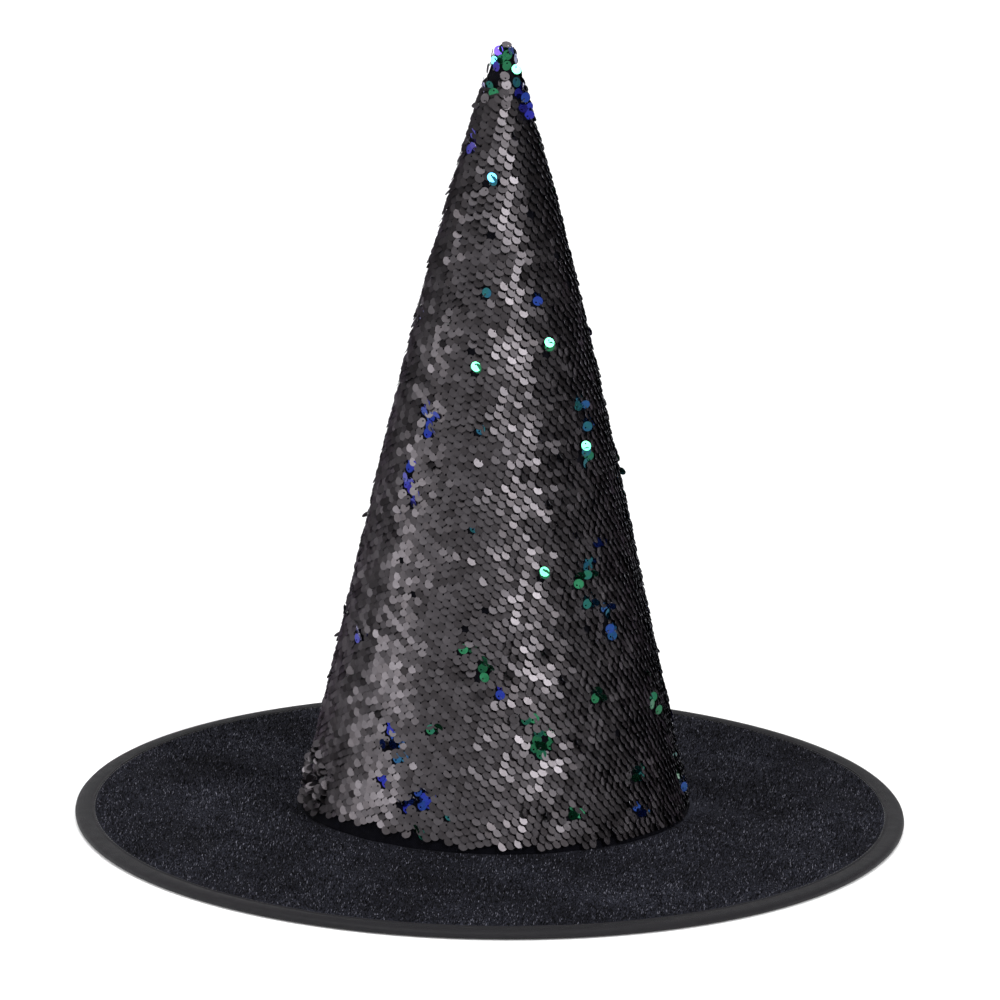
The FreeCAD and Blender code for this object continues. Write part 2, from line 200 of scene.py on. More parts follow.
# --- materials --------------------------------------------------------------------------------
class Finish:
    """A Principled material and the nodes that drive it."""

    def __init__(self, name, colour, **sockets):
        self.material = bpy.data.materials.new(name)
        self.material.use_nodes = True
        self.nodes = self.material.node_tree.nodes
        self.links = self.material.node_tree.links
        self.shader = self.nodes["Principled BSDF"]
        self.shader.inputs["Base Color"].default_value = (*colour, 1)
        self.material.diffuse_color = (*colour, 1)
        for socket, value in sockets.items():
            self.shader.inputs[socket.replace("_", " ")].default_value = value
        self.place = self.nodes.new("ShaderNodeTexCoord").outputs["Object"]

    def wire(self, value, socket):
        if isinstance(value, bpy.types.NodeSocket):
            self.links.new(value, socket)
        else:
            socket.default_value = value

    def math(self, operation, *values):
        node = self.nodes.new("ShaderNodeMath")
        node.operation = operation
        for socket, value in zip(node.inputs, values):
            self.wire(value, socket)
        return node.outputs[0]

    def cloth(self):
        """The cloth's own flat coordinates, in metres."""
        node = self.nodes.new("ShaderNodeUVMap")
        node.uv_map = "cloth"
        return node.outputs[0]

    def split(self, vector):
        node = self.nodes.new("ShaderNodeSeparateXYZ")
        self.links.new(vector, node.inputs[0])
        return node.outputs

    def value(self, attribute):
        node = self.nodes.new("ShaderNodeAttribute")
        node.attribute_name = attribute
        return node.outputs["Fac"]

    def noise(self, size, detail=2.0, rough=0.5):
        """Noise whose features are about size metres across."""
        node = self.nodes.new("ShaderNodeTexNoise")
        node.inputs["Scale"].default_value = 1 / size
        node.inputs["Detail"].default_value = detail
        node.inputs["Roughness"].default_value = rough
        self.links.new(self.place, node.inputs["Vector"])
        return node.outputs[0]

    def ribs(self, along, pitch):
        """Round ribs, 0 to 1, across a length in metres."""
        turns = self.math("MULTIPLY", along, 2 * math.pi / pitch)
        return self.math("MULTIPLY_ADD", self.math("SINE", turns), 0.5, 0.5)

    def weave(self, where, pitch):
        """A plain weave: two sets of ribs that pass over and under each other."""
        x, y, _ = self.split(where)
        over = self.ribs(self.math("ADD", x, y), pitch * 1.41)
        under = self.ribs(self.math("SUBTRACT", x, y), pitch * 1.41)
        return self.math("MULTIPLY", over, under)

    def ramp(self, factor, *stops):
        """Colour for a factor; stops are (place, colour)."""
        node = self.nodes.new("ShaderNodeValToRGB")
        points = node.color_ramp.elements
        while len(points) < len(stops):
            points.new(0.5)
        for point, (place, colour) in zip(points, stops):
            point.position = place
            point.color = (*colour, 1)
        self.links.new(factor, node.inputs[0])
        return node.outputs[0]

    def between(self, factor, low, high):
        node = self.nodes.new("ShaderNodeMapRange")
        self.links.new(factor, node.inputs["Value"])
        node.inputs["To Min"].default_value = low
        node.inputs["To Max"].default_value = high
        return node.outputs[0]

    def colour(self, output):
        self.links.new(output, self.shader.inputs["Base Color"])
        return self

    def rough(self, output):
        self.links.new(output, self.shader.inputs["Roughness"])
        return self

    def bump(self, height, distance, strength=1.0):
        node = self.nodes.new("ShaderNodeBump")
        node.inputs["Distance"].default_value = distance
        node.inputs["Strength"].default_value = strength
        self.links.new(height, node.inputs["Height"])
        self.links.new(node.outputs[0], self.shader.inputs["Normal"])
        return self


def matte_sequin():
    """Charcoal film: a dark satin metal, slightly warm, with rubbed patches and pressing marks."""
    grazing = (0.25, 0.24, 0.26, 1)
    made = Finish("sequin_matte_face", (0.075, 0.068, 0.072), Metallic=0.97, Specular_Tint=grazing)
    mottle = made.noise(2.2 * MM, 3)
    mix = made.math("MULTIPLY_ADD", mottle, 0.3, made.math("MULTIPLY", made.value("tone"), 0.7))
    made.colour(made.ramp(mix, (0.1, (0.05, 0.045, 0.048)), (0.9, (0.115, 0.106, 0.115))))
    made.rough(made.between(made.noise(0.7 * MM, 3), 0.3, 0.42))
    return made.bump(made.noise(1.1 * MM, 2), 0.02 * MM, 0.4).material


def turned_sequin():
    """The iridescent side: its colour runs from violet through blue and teal to emerald."""
    made = Finish("sequin_iridescent_face", (0.03, 0.16, 0.2), Metallic=0.92, Specular_IOR_Level=0.8)
    drift = made.between(made.noise(3.5 * MM, 1), -0.12, 0.12)
    hue = made.math("ADD", made.value("hue"), drift)
    made.colour(made.ramp(
        hue,
        (0.0, (0.045, 0.022, 0.2)),
        (0.22, (0.012, 0.018, 0.24)),
        (0.42, (0.012, 0.045, 0.19)),
        (0.60, (0.012, 0.085, 0.11)),
        (0.80, (0.012, 0.11, 0.045)),
        (1.0, (0.03, 0.2, 0.1)),
    ))
    made.rough(made.between(made.noise(0.9 * MM, 2), 0.07, 0.2))
    return made.bump(made.noise(1.4 * MM, 2), 0.02 * MM, 0.4).material


def cut_edge():
    """The punched rim of a sequin: bare bright film that glints where it faces the light."""
    made = Finish("sequin_cut_edge", (0.1, 0.1, 0.11), Metallic=0.9, Specular_Tint=(0.3, 0.3, 0.3, 1))
    made.colour(made.ramp(made.noise(0.4 * MM), (0.45, (0.02, 0.02, 0.022)), (0.65, (0.3, 0.3, 0.33))))
    return made.rough(made.between(made.noise(0.6 * MM), 0.1, 0.25)).material


def velour():
    """The cloth under the pile: near black, with patches where the nap turns."""
    made = Finish("brim_velour", (0.006, 0.006, 0.009), Roughness=0.9, Specular_IOR_Level=0.1)
    tufts = made.noise(1.0 * MM, 3, 0.7)
    nap = made.noise(60 * MM, 2, 0.5)
    mix = made.math("MULTIPLY_ADD", nap, 0.3, made.math("MULTIPLY", tufts, 0.9))
    made.colour(made.ramp(
        mix,
        (0.44, (0.0012, 0.0012, 0.0018)),
        (0.58, (0.005, 0.005, 0.008)),
        (0.7, (0.018, 0.019, 0.028)),
        (0.82, (0.06, 0.062, 0.082)),
    ))
    return made.bump(tufts, 0.4 * MM, 0.8).material


def velour_tuft():
    """The pile's fibres: most nearly black, some navy, and a few painted light grey as a painted glint of
    fibres catching the light.
    """
    made = Finish("velour_pile", (0.01, 0.01, 0.014), Roughness=0.7, Specular_IOR_Level=0.2)
    nap = made.between(made.noise(55 * MM, 3, 0.5), -0.16, 0.16)
    mix = made.math("ADD", made.value("tone"), nap)
    # The top stop of this ramp is a painted highlight: light grey colour on a few fibres in place of glints.
    made.colour(made.ramp(
        mix,
        (0.35, (0.0015, 0.0015, 0.002)),
        (0.6, (0.01, 0.01, 0.015)),
        (0.84, (0.05, 0.051, 0.07)),
        (0.98, (0.22, 0.22, 0.27)),
    ))
    return made.rough(made.between(made.noise(2 * MM), 0.6, 0.9)).material


def tape(name, colour, light, pitch=0.55 * MM):
    """Woven tape with fine slanting ribs and a slight shine."""
    made = Finish(name, colour, Roughness=0.6, Sheen_Weight=0.02, Specular_IOR_Level=0.22)
    along, across, _ = made.split(made.cloth())
    slanted = made.math("MULTIPLY_ADD", across, 0.8, along)
    ribs = made.ribs(slanted, pitch)
    mix = made.math("MULTIPLY_ADD", ribs, 0.4, made.math("MULTIPLY", made.noise(1.5 * MM, 4), 0.6))
    made.colour(made.ramp(mix, (0.2, colour), (0.85, light)))
    made.rough(made.between(made.noise(6 * MM, 3), 0.5, 0.72))
    return made.bump(ribs, 0.08 * MM, 0.7).material


def woven(name, dark, light, pitch, flat=False, **sockets):
    """Plain woven cloth; flat goods carry their grain in the plane of the table."""
    made = Finish(name, dark, **sockets)
    where = made.place if flat else made.cloth()
    threads = made.weave(where, pitch)
    mix = made.math("MULTIPLY_ADD", threads, 0.5, made.math("MULTIPLY", made.noise(2.5 * MM, 4), 0.5))
    made.colour(made.ramp(mix, (0.15, dark), (0.8, light)))
    made.rough(made.between(made.noise(9 * MM, 3), 0.7, 0.92))
    return made.bump(threads, 0.12 * MM, 0.8).material


def felt(name, dark, light):
    """Needled felt board: short fibres pressed flat."""
    made = Finish(name, dark, Roughness=0.95, Sheen_Weight=0.2, Specular_IOR_Level=0.15)
    fibres = made.noise(0.5 * MM, 5, 0.7)
    made.colour(made.ramp(fibres, (0.3, dark), (0.7, light)))
    return made.bump(fibres, 0.15 * MM, 0.7).material


def sewing_thread():
    """Black polyester thread with its twist."""
    made = Finish("sewing_thread", (0.016, 0.016, 0.018), Roughness=0.55, Sheen_Weight=0.3)
    plies = made.noise(0.12 * MM, 3)
    made.colour(made.ramp(plies, (0.3, (0.008, 0.008, 0.009)), (0.75, (0.04, 0.04, 0.045))))
    return made.bump(plies, 0.03 * MM, 0.8).material


def drawn_metal(name, dark, light, rough):
    """Metal with the grain of drawing or crimping."""
    made = Finish(name, light, Metallic=1.0)
    grain = made.noise(0.25 * MM, 4)
    made.colour(made.ramp(grain, (0.3, dark), (0.7, light)))
    return made.rough(made.between(grain, rough, rough + 0.2)).material


def pale_floor():
    """A matt white floor, lit through a little so that the hat's shadow on it is faint."""
    made = Finish(
        "pale_floor", (0.9, 0.9, 0.9), Roughness=0.9, Specular_IOR_Level=0.1,
        Emission_Color=(1, 1, 1, 1), Emission_Strength=0.12
    )
    return made.colour(made.ramp(
        made.noise(0.3, 3), (0.3, (0.885, 0.885, 0.89)), (0.7, (0.91, 0.91, 0.91))
    )).material


MATTE, TURNED_FACE, CUT_EDGE = matte_sequin(), turned_sequin(), cut_edge()
SEQUIN_MATERIALS = (MATTE, TURNED_FACE, CUT_EDGE)
VELOUR, TUFT = velour(), velour_tuft()
BINDING = tape("binding_tape", (0.004, 0.0037, 0.0048), (0.0105, 0.0096, 0.0127))
SWEATBAND = tape("sweatband_tape", (0.02, 0.02, 0.023), (0.055, 0.055, 0.06), 1.1 * MM)
LINING = woven("lining_weave", (0.012, 0.012, 0.014), (0.04, 0.04, 0.045), 0.5 * MM, Specular_IOR_Level=0.3)
UNDERSIDE = woven(
    "underside_weave", (0.012, 0.012, 0.015), (0.045, 0.045, 0.05), 0.6 * MM, flat=True, Specular_IOR_Level=0.3
)
NET = woven("backing_net", (0.001, 0.001, 0.002), (0.005, 0.005, 0.009), 0.9 * MM, Specular_IOR_Level=0.06)
FELT = felt("needled_felt", (0.02, 0.02, 0.022), (0.06, 0.06, 0.065))
THREAD = sewing_thread()
WIRE = drawn_metal("spring_wire", (0.32, 0.32, 0.34), (0.55, 0.55, 0.57), 0.25)
FERRULE = drawn_metal("ferrule_brass", (0.42, 0.3, 0.13), (0.7, 0.56, 0.3), 0.3)
LABEL = woven("label_satin", (0.55, 0.54, 0.51), (0.78, 0.77, 0.74), 0.25 * MM, Sheen_Weight=0.3)


# --- the sequins ------------------------------------------------------------------------------
RIM_SIDES = 16
HOLE_SIDES = 6
TOP_FACE, REVERSE_FACE, EDGE_FACE = 0, 1, 2


def disc_template():
    """One punched disc: x along its hinge, y the way it hangs, z out of its matte side.

    Returns its points, its faces and each face's material number. The hole is towards -y."""
    def ring(sides, radius, shift, z):
        turn = np.arange(sides) / sides * 2 * math.pi
        return np.stack([radius * np.cos(turn), shift + radius * np.sin(turn), z + 0 * turn], axis=1)

    half = SEQUIN_THICKNESS / 2
    points = np.concatenate([
        ring(RIM_SIDES, SEQUIN_RADIUS, 0, half),
        ring(RIM_SIDES, SEQUIN_RADIUS, 0, -half),
        ring(HOLE_SIDES, HOLE_RADIUS, -HOLE_OFFSET, half),
        ring(HOLE_SIDES, HOLE_RADIUS, -HOLE_OFFSET, -half),
    ])
    low_rim, high_hole, low_hole = RIM_SIDES, 2 * RIM_SIDES, 2 * RIM_SIDES + HOLE_SIDES
    faces, kinds = [], []

    def face(corners, kind):
        faces.append(corners)
        kinds.append(kind)

    for k in range(RIM_SIDES):
        after = (k + 1) % RIM_SIDES
        face([k, low_rim + k, low_rim + after, after], EDGE_FACE)
        hole = round(k * HOLE_SIDES / RIM_SIDES) % HOLE_SIDES
        hole_after = round((k + 1) * HOLE_SIDES / RIM_SIDES) % HOLE_SIDES
        face([k, after, high_hole + hole], TOP_FACE)
        face([low_rim + after, low_rim + k, low_hole + hole], REVERSE_FACE)
        if hole_after != hole:
            face([high_hole + hole, after, high_hole + hole_after], TOP_FACE)
            face([low_hole + hole, low_hole + hole_after, low_rim + after], REVERSE_FACE)
            face([high_hole + hole, high_hole + hole_after, low_hole + hole_after, low_hole + hole], EDGE_FACE)
    return points, faces, np.array(kinds)


DISC_POINTS, DISC_FACES, DISC_KINDS = disc_template()


def disc_mesh(name, centres, x_axes, y_axes, z_axes, tones, hues):
    """One mesh of many discs, each with its own tone and hue."""
    count = len(centres)
    local = DISC_POINTS
    points = (
        centres[:, None]
        + local[None, :, :1] * x_axes[:, None]
        + local[None, :, 1:2] * y_axes[:, None]
        + local[None, :, 2:] * z_axes[:, None]
    )
    sizes = np.array([len(f) for f in DISC_FACES])
    corners = np.concatenate(DISC_FACES)
    every = (corners[None] + np.arange(count)[:, None] * len(local)).ravel()
    totals = np.tile(sizes, count)
    mesh = bpy.data.meshes.new(name)
    mesh.vertices.add(count * len(local))
    mesh.vertices.foreach_set("co", points.astype(np.float32).ravel())
    mesh.loops.add(len(every))
    mesh.loops.foreach_set("vertex_index", every.astype(np.int32))
    mesh.polygons.add(len(totals))
    starts = np.concatenate([[0], np.cumsum(totals)[:-1]])
    mesh.polygons.foreach_set("loop_start", starts.astype(np.int32))
    mesh.polygons.foreach_set("material_index", np.tile(DISC_KINDS, count).astype(np.int32))
    mesh.polygons.foreach_set("use_smooth", np.zeros(len(totals), bool))
    for word, values in (("tone", tones), ("hue", hues)):
        attribute = mesh.attributes.new(word, "FLOAT", "FACE")
        attribute.data.foreach_set("value", np.repeat(values, len(DISC_FACES)).astype(np.float32))
    mesh.update(calc_edges=True)
    return mesh


def lattice():
    """Centres of all sequins in the flat pattern, with the direction they hang in it."""
    hang = np.array([-math.sin(HANG_ANGLE), -math.cos(HANG_ANGLE)])
    along = np.array([math.cos(HANG_ANGLE), -math.sin(HANG_ANGLE)])
    reach = int((TIP_SLANT + SLANT) / ROW_SPACING) + 1
    rows, columns = np.meshgrid(np.arange(-reach, reach), np.arange(-reach, reach), indexing="ij")
    across = (columns + 0.5 * (rows % 2)) * SEQUIN_PITCH
    flat = rows[..., None] * ROW_SPACING * hang + across[..., None] * along
    return flat.reshape(-1, 2), hang


# Patches of sequins that have turned over: degrees round the crown, height and reach in mm, and hue
# from violet (0) through blue (0.25), azure (0.42) and teal (0.6) to emerald (0.85).
TURNED_PATCHES = (
    (-10, 273, 3.4, 0.5), (27, 267, 2.8, 0.35), (-40, 209, 2.8, 0.24), (-47, 212, 2.4, 0.24),
    (-40, 202, 3.0, 0.26), (-12, 205, 2.8, 0.65), (54, 205, 3.4, 0.5), (49, 216, 3.8, 0.55),
    (47, 189, 4.6, 0.66), (-49, 183, 4.0, 0.2), (-48, 176, 4.4, 0.2), (-44, 168, 2.4, 0.28),
    (-10, 157, 2.4, 0.65), (48, 148, 3.4, 0.35), (43, 141, 3.8, 0.5), (39, 136, 3.8, 0.66),
    (34, 133, 3.8, 0.85), (38, 121, 3.0, 0.6), (47, 116, 3.6, 0.5), (47, 106, 4.2, 0.4),
    (-63, 98, 5.4, 0.1), (-82, 105, 3.6, 0.2), (-12, 100, 3.0, 0.85), (-6, 93, 2.8, 0.85),
    (-3, 89, 3.0, 0.85), (1, 80, 2.6, 0.25), (10, 67, 3.0, 0.8), (13, 60, 3.6, 0.75),
    (16, 57, 5.4, 0.82), (13, 53, 3.8, 0.8), (36, 75, 2.8, 0.85), (68, 64, 3.8, 0.8),
    (-21, 60, 2.8, 0.8), (-38, 59, 3.2, 0.3), (-35, 51, 3.8, 0.4), (-33, 44, 3.2, 0.45),
    (-37, 33, 3.0, 0.25), (-23, 26, 4.8, 0.33), (-28, 24, 3.4, 0.3), (-23, 11, 3.0, 0.7),
    (-14, 19, 3.0, 0.65), (48, 16, 4.2, 0.42), (24, 21, 2.8, 0.85), (49, 35, 3.4, 0.75),
    (79, 24, 3.8, 0.8), (79, 34, 3.0, 0.75), (81, 17, 4.0, 0.5), (-62, 340, 4.4, 0.06),
    (-74, 253, 2.8, 0.06), (51, 365, 4.0, 0.26), (47, 357, 3.6, 0.22), (120, 240, 4.0, 0.4),
    (165, 150, 5.0, 0.7), (-150, 95, 5.0, 0.25), (-115, 190, 4.0, 0.6), (140, 60, 4.4, 0.5),
    (-170, 300, 3.6, 0.85), (105, 120, 4.0, 0.3),
)

# Sequins turned right over that lie flat and take the key light full on.
GLARING_SEQUINS = (
    (-11.2, 325.7, 0.55), (31.3, 247.1, 0.9), (-13.9, 235.9, 0.9), (47.3, 196.0, 0.85), (18.8, 138.3, 0.85),
    (152, 210, 0.6),
)
GLARE_AZIMUTH, GLARE_ELEVATION = math.radians(22), math.radians(27)

# Where the cone is creased: degrees round the crown, height in mm, how far it runs and the lean in degrees.
CREASES = (
    (-35, 316, 40, 12), (20, 287, 50, -9), (-50, 283, 35, 8), (-10, 262, 45, -6), (-60, 228, 30, 6),
    (150, 300, 40, 8), (-140, 240, 40, -7),
)


# How the fixed sequins lie. Lean lifts the low end off the cloth and roll turns a sequin about the way
# it hangs: mean and spread in degrees. The shares are of all the sequins.
LEAN, LEAN_SPREAD = 17.5, 3.2
ROLL, ROLL_SPREAD = 1.0, 4.4
LOOSE_SHARE, PROUD_SHARE, LOST_SHARE = 0.05, 0.006, 0.004
STANDING_SHARE = 0.4

# Each free sequin's hue, in the order of their numbers.
FREE_HUES = (0.1, 0.35, 0.6, 0.6, 0.85, 0.8, 0.62, 0.2, 0.8, 0.4, 0.25, 0.85, 0.5, 0.8, 0.85, 0.35)


def tilted(x, y, z, lean, roll):
    """Turns disc axes by lean about x, then by roll about the new y."""
    cos, sin = np.cos(lean)[:, None], np.sin(lean)[:, None]
    y, z = y * cos + z * sin, z * cos - y * sin
    cos, sin = np.cos(roll)[:, None], np.sin(roll)[:, None]
    x, z = x * cos - z * sin, z * cos + x * sin
    return x, y, z


def swing_ends():
    """Where each free sequin's middle is at the two ends of its swing."""
    ends = []
    for number, joint in enumerate(frame["joints"], start=1):
        low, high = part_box(f"flip_sequin_{number:02d}")
        pivot, axis = np.array(joint["pos_m"]), unit(np.array(joint["axis"]))
        arm = (np.array(low) + np.array(high)) / 2 - pivot
        turns = np.radians(joint["range_deg"])[:, None]
        ends.append(pivot + arm * np.cos(turns) + np.cross(axis, arm) * np.sin(turns))
    return ends


def near(points, place, reach):
    """Which of the points are within reach of the place."""
    return np.linalg.norm(points - place, axis=-1) < reach


def hem(angle):
    """Height of the lowest row of sequins: higher over the wearer's right front, and ragged."""
    rise = 4.6 * np.exp(-(((np.degrees(angle) + 42) / 22) ** 2))
    return VELOUR_TOP + (3.4 + rise + 0.9 * ripple(angle * 0.09, 0 * angle, 9 * MM, 8)) * MM


def field_of_sequins():
    """Height, middle, three axes, tone and hue of every fixed sequin."""
    flat, hang = lattice()
    angle, height = to_crown(flat)
    keep = (np.abs(angle) < math.pi) & (height > hem(angle))
    keep &= height < CROWN_HEIGHT - np.where(np.abs(angle) < 2, 16, 1) * MM
    flat, angle, height = flat[keep], angle[keep], height[keep]
    here, normal, downhill, sideways = crown_frame(angle, height)
    turn = angle * SECTOR
    down = hang[0] * np.sin(turn) - hang[1] * np.cos(turn)
    side = hang[0] * np.cos(turn) + hang[1] * np.sin(turn)
    hanging = unit(downhill * down[:, None] + sideways * side[:, None])
    hinge = unit(np.cross(hanging, normal))
    count = len(flat)

    lean = np.radians(LEAN + LEAN_SPREAD * rng.standard_normal(count))
    roll = np.radians(ROLL + ROLL_SPREAD * rng.standard_normal(count))
    lean += np.radians(2.2) * ripple(flat[:, 0], flat[:, 1], 26 * MM, 5)
    roll += np.radians(2.6) * ripple(flat[:, 0], flat[:, 1], 30 * MM, 6)
    roll += np.radians(3.2) * ripple(flat[:, 0], flat[:, 1], 12 * MM, 12)
    for around, level, run, steep in CREASES:
        off = ((np.degrees(angle) - around) / run) ** 2 + ((height - level * MM) / (3.5 * MM)) ** 2
        lean += np.radians(steep) * np.exp(-off)
    loose = rng.random(count) < LOOSE_SHARE
    lean[loose] += np.radians(rng.uniform(-8, 14, loose.sum()))
    roll[loose] += np.radians(rng.uniform(-12, 12, loose.sum()))
    proud = rng.random(count) < PROUD_SHARE
    lean[proud] += np.radians(rng.uniform(15, 40, proud.sum()))
    lean = np.clip(lean, np.radians(1.5), None)

    tone = rng.random(count)
    hue = np.clip(0.5 - angle * 0.1 + 0.3 * rng.standard_normal(count), 0, 1)

    # Those that are turned over swing about their threads and are half hidden under their neighbours.
    missing = rng.random(count) < LOST_SHARE
    thread = here - hanging * HOLE_OFFSET
    sink = np.zeros(count)
    turned = np.zeros(count, bool)
    for around, level, reach, tint in TURNED_PATCHES:
        place = crown_point(np.radians(around), np.array(level * MM))
        inside = near(here, place, reach * MM)
        turned |= inside
        hue[inside] = tint + rng.uniform(-0.1, 0.1, inside.sum())
    standing = turned & (rng.random(count) < STANDING_SHARE)
    lean[turned] = np.radians(rng.uniform(170, 184, turned.sum()))
    lean[standing] = np.radians(rng.uniform(118, 162, standing.sum()))
    roll[turned] = np.radians(rng.uniform(-14, 14, turned.sum()))
    sink[turned] = 0.8 * MM
    sink[standing] = 0.4 * MM

    # A jumble of sequins that stand on edge low down on the wearer's right.
    jumble = (np.degrees(angle) + 74) ** 2 / 14**2 + (height - 19 * MM) ** 2 / (16 * MM) ** 2 < 1
    jumble &= rng.random(count) < 0.75
    lean[jumble] = np.radians(rng.uniform(25, 105, jumble.sum()))
    roll[jumble] = np.radians(rng.uniform(-40, 40, jumble.sum()))

    # The free sequins take the place of one fixed one each and swing clear of the rest.
    for joint, (closed, opened) in zip(frame["joints"], swing_ends()):
        missing[np.argmin(np.linalg.norm(thread - np.array(joint["pos_m"]), axis=1))] = True
        under = near(here, opened, 5 * MM) & ~turned
        lean[under] = np.minimum(lean[under], np.radians(11))
        crossing = near(here, opened, 3.6 * MM) | near(here, closed, 3.6 * MM)
        missing |= crossing & (standing | jumble) | near(here, opened, 2.8 * MM) & turned
    for around, level, _ in GLARING_SEQUINS:
        place = crown_point(np.radians(around), np.array(level * MM))
        missing[np.argmin(np.linalg.norm(here - place, axis=1))] = True

    x, y, z = tilted(hinge, hanging, normal, lean, roll)
    low_end = SEQUIN_RADIUS * np.abs(np.sin(lean)) + SEQUIN_THICKNESS
    centre = here + normal * (low_end - SEQUIN_COVER)[:, None]
    swung = turned | jumble
    centre[swung] = (thread + y * HOLE_OFFSET - normal * sink[:, None])[swung]
    keep = ~missing
    return [v[keep] for v in (height, centre, x, y, z, tone, hue)]


def make_field():
    """The fixed sequins, as six pieces from the hem up."""
    height, *discs = field_of_sequins()
    order = np.argsort(height)
    bands = 6
    for number, part in enumerate(np.array_split(order, bands), start=1):
        name = f"crown_sequins_{number}"
        mesh = disc_mesh(name, *[v[part] for v in discs])
        band = new_object(name, mesh, SEQUIN_MATERIALS)
        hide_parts("crown_sequin_layer")


def make_free_sequins():
    """The sixteen that turn: each is built where its CAD node stands, on its own body."""
    for number, joint in enumerate(frame["joints"], start=1):
        node = f"flip_sequin_{number:02d}"
        low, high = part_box(node)
        centre = (np.array(low) + np.array(high)) / 2
        x = unit(np.array(joint["axis"]))
        y = centre - np.array(joint["pos_m"])
        y = unit(y - x * (x @ y))
        z = np.cross(x, y)
        hue = FREE_HUES[number - 1]
        mesh = disc_mesh(node + "_disc", *[np.array(v)[None] for v in (centre, x, y, z, 0.5, hue)])
        disc = new_object(node + "_disc", mesh, SEQUIN_MATERIALS, joint["child"])
        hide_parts(node)


def facing(azimuth, elevation):
    """The direction at an angle round from the front and an angle up."""
    return np.array([
        math.sin(azimuth) * math.cos(elevation), -math.cos(azimuth) * math.cos(elevation), math.sin(elevation)
    ])


# The loose sequins of the tip: degrees round it, height in mm, the way they face in degrees round and
# up, hue, and whether the matte side shows.
TIP_SEQUINS = (
    (-30, 386, -25, 15, 0.02, False), (0, 387, 5, 25, 0.8, False), (18, 384, 25, 0, 0.85, False),
    (-8, 382, -10, -12, 0.8, False), (12, 379, 30, -8, 0.82, False), (45, 386, 60, 15, 0.42, False),
    (66, 382, 75, 5, 0.4, False), (52, 377, 22, 27, 0.9, False), (-36, 381, 22, 27, 0.6, False),
    (-44, 375, 22, 27, 0.6, False), (-40, 369, -40, -5, 0.68, False), (-75, 377, -80, 8, 0.1, True),
    (-24, 366, -5, -15, 0.85, False), (4, 374, 20, 33, 0.5, True), (8, 370, 17, 24, 0.5, True),
    (2, 366, 0, 18, 0.5, True), (6, 361, 14, 22, 0.5, True), (40, 371, 40, 10, 0.6, False),
    (46, 366, 60, -5, 0.5, False), (-46, 363, -38, 15, 0.5, True), (-62, 368, -75, 0, 0.06, False),
    (66, 368, 80, 5, 0.25, False), (72, 362, 80, 5, 0.22, False), (34, 362, 45, 10, 0.45, True),
    (-22, 361, -12, 16, 0.5, True), (-90, 384, -95, 10, 0.6, False), (95, 375, 98, 8, 0.3, False),
    (-95, 371, -95, 12, 0.5, True), (100, 385, 100, 15, 0.8, False), (20, 389, 15, 60, 0.1, True),
)


def make_tip():
    """Sequins at the tip and those that glare: each is placed one by one from the tables and faces its own way.
    """
    swings = np.concatenate(swing_ends())
    rows = [
        (around, level, facing(math.radians(turn), math.radians(rise)), hue, matte, 0.2)
        for around, level, turn, rise, hue, matte in TIP_SEQUINS
        if not near(swings, crown_point(np.radians(around), np.array(level * MM)), 3.4 * MM).any()
    ]
    rows += [
        (around, level, facing(GLARE_AZIMUTH, GLARE_ELEVATION), hue, False, 2.3)
        for around, level, hue in GLARING_SEQUINS
    ]
    centres, xs, ys, zs, hues = [], [], [], [], []
    for around, level, out, hue, matte, lift in rows:
        at = crown_point(np.radians(around), np.array(level * MM))
        away = facing(math.radians(around), math.radians(15))
        across = unit(np.cross([0, 0, 1.0], out) + 0.2 * out[2])
        across = unit(across - out * (across @ out))
        z = out if matte else -out
        centres.append(at + away * lift * MM)
        xs.append(across)
        zs.append(z)
        ys.append(np.cross(z, across))
        hues.append(hue)
    tones = rng.random(len(rows))
    mesh = disc_mesh("tip_sequins", *[np.array(v) for v in (centres, xs, ys, zs, tones, hues)])
    made = new_object("tip_sequins", mesh, SEQUIN_MATERIALS)
    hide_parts("crown_sequin_layer")


make_field()
make_free_sequins()
make_tip()


# --- the crown's cloths -----------------------------------------------------------------------
def cone_cloth(name, inset, low, high, columns, rows, sag, seed, material, node, thickness):
    """A layer of the cone: a gently rippled skin with thickness, open at both ends."""
    heights = np.linspace(low, high, rows)
    angles = (np.arange(columns) / columns * 2 - 1) * math.pi
    grid_angle, grid_height = np.meshgrid(angles, heights)
    flat = to_flat(grid_angle, grid_height)
    fade = np.clip((high - grid_height) / (30 * MM), 0, 1)
    fade *= np.clip((grid_height - SWEATBAND_HEIGHT) / (20 * MM), 0, 1)
    slack = sag * fade * (1 - ripple(flat[..., 0], flat[..., 1], 45 * MM, seed))
    points = crown_point(grid_angle, grid_height, -inset - slack)
    edge_angle, edge_height = np.meshgrid((np.arange(columns + 1) / columns * 2 - 1) * math.pi, heights)
    mesh = skin(name, points, to_flat(edge_angle, edge_height))
    made = new_object(name, mesh, [material])
    solid = made.modifiers.new("thickness", "SOLIDIFY")
    solid.thickness = thickness
    solid.offset = -1
    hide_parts(node)
    return made


net = cone_cloth(
    "crown_net", SEQUIN_COVER + 0.05 * MM, 0.6 * MM, 385.6 * MM, 240, 130, 0.0, 3, NET,
    "crown_backing_net", 0.25 * MM,
)
lining = cone_cloth(
    "crown_lining_cloth", 3.5 * MM, 0.6 * MM, 377 * MM, 240, 130, 0.5 * MM, 4, LINING,
    "crown_lining", 0.35 * MM,
)


